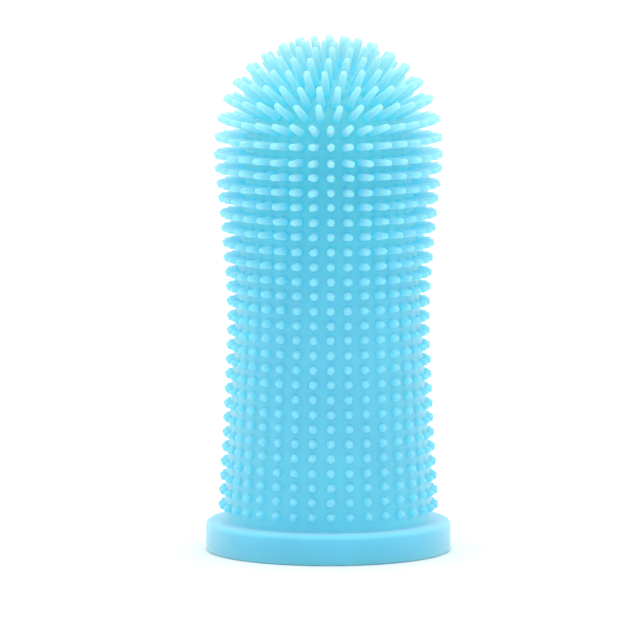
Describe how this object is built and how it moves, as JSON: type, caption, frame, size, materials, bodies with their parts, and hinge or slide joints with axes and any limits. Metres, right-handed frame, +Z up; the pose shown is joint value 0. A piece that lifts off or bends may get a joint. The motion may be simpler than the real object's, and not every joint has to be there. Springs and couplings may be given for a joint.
{
  "type": "finger toothbrush",
  "caption": "Soft silicone finger toothbrush for pets: a hollow thimble with a thick rim at its mouth, short nubs along the sleeve and long radial bristles over its domed end.",
  "frame": {"origin": "centre of the mouth, on the underside of the rim", "axes": "+Z runs up the sleeve from the mouth to the domed end; -Y faces the viewer of the front; the head bends towards +X"},
  "size_m": [0.029, 0.029, 0.0611],
  "materials": {
    "silicone": "satin"
  },
  "bodies": {
    "base": {"rim_flange": "silicone", "lower_sleeve": "silicone", "flex_band": "silicone"},
    "head": {"upper_sleeve": "silicone", "bristle_head": "silicone"}
  },
  "joints": [
    {"name": "fingertip_bend", "type": "hinge", "parent": "base", "child": "head", "pos_m": [0, 0, 0.02965], "axis": [0, 1, 0], "range_deg": [0, 40], "stiffness_Nm_per_rad": 0.15, "deforming": ["flex_band"]}
  ]
}
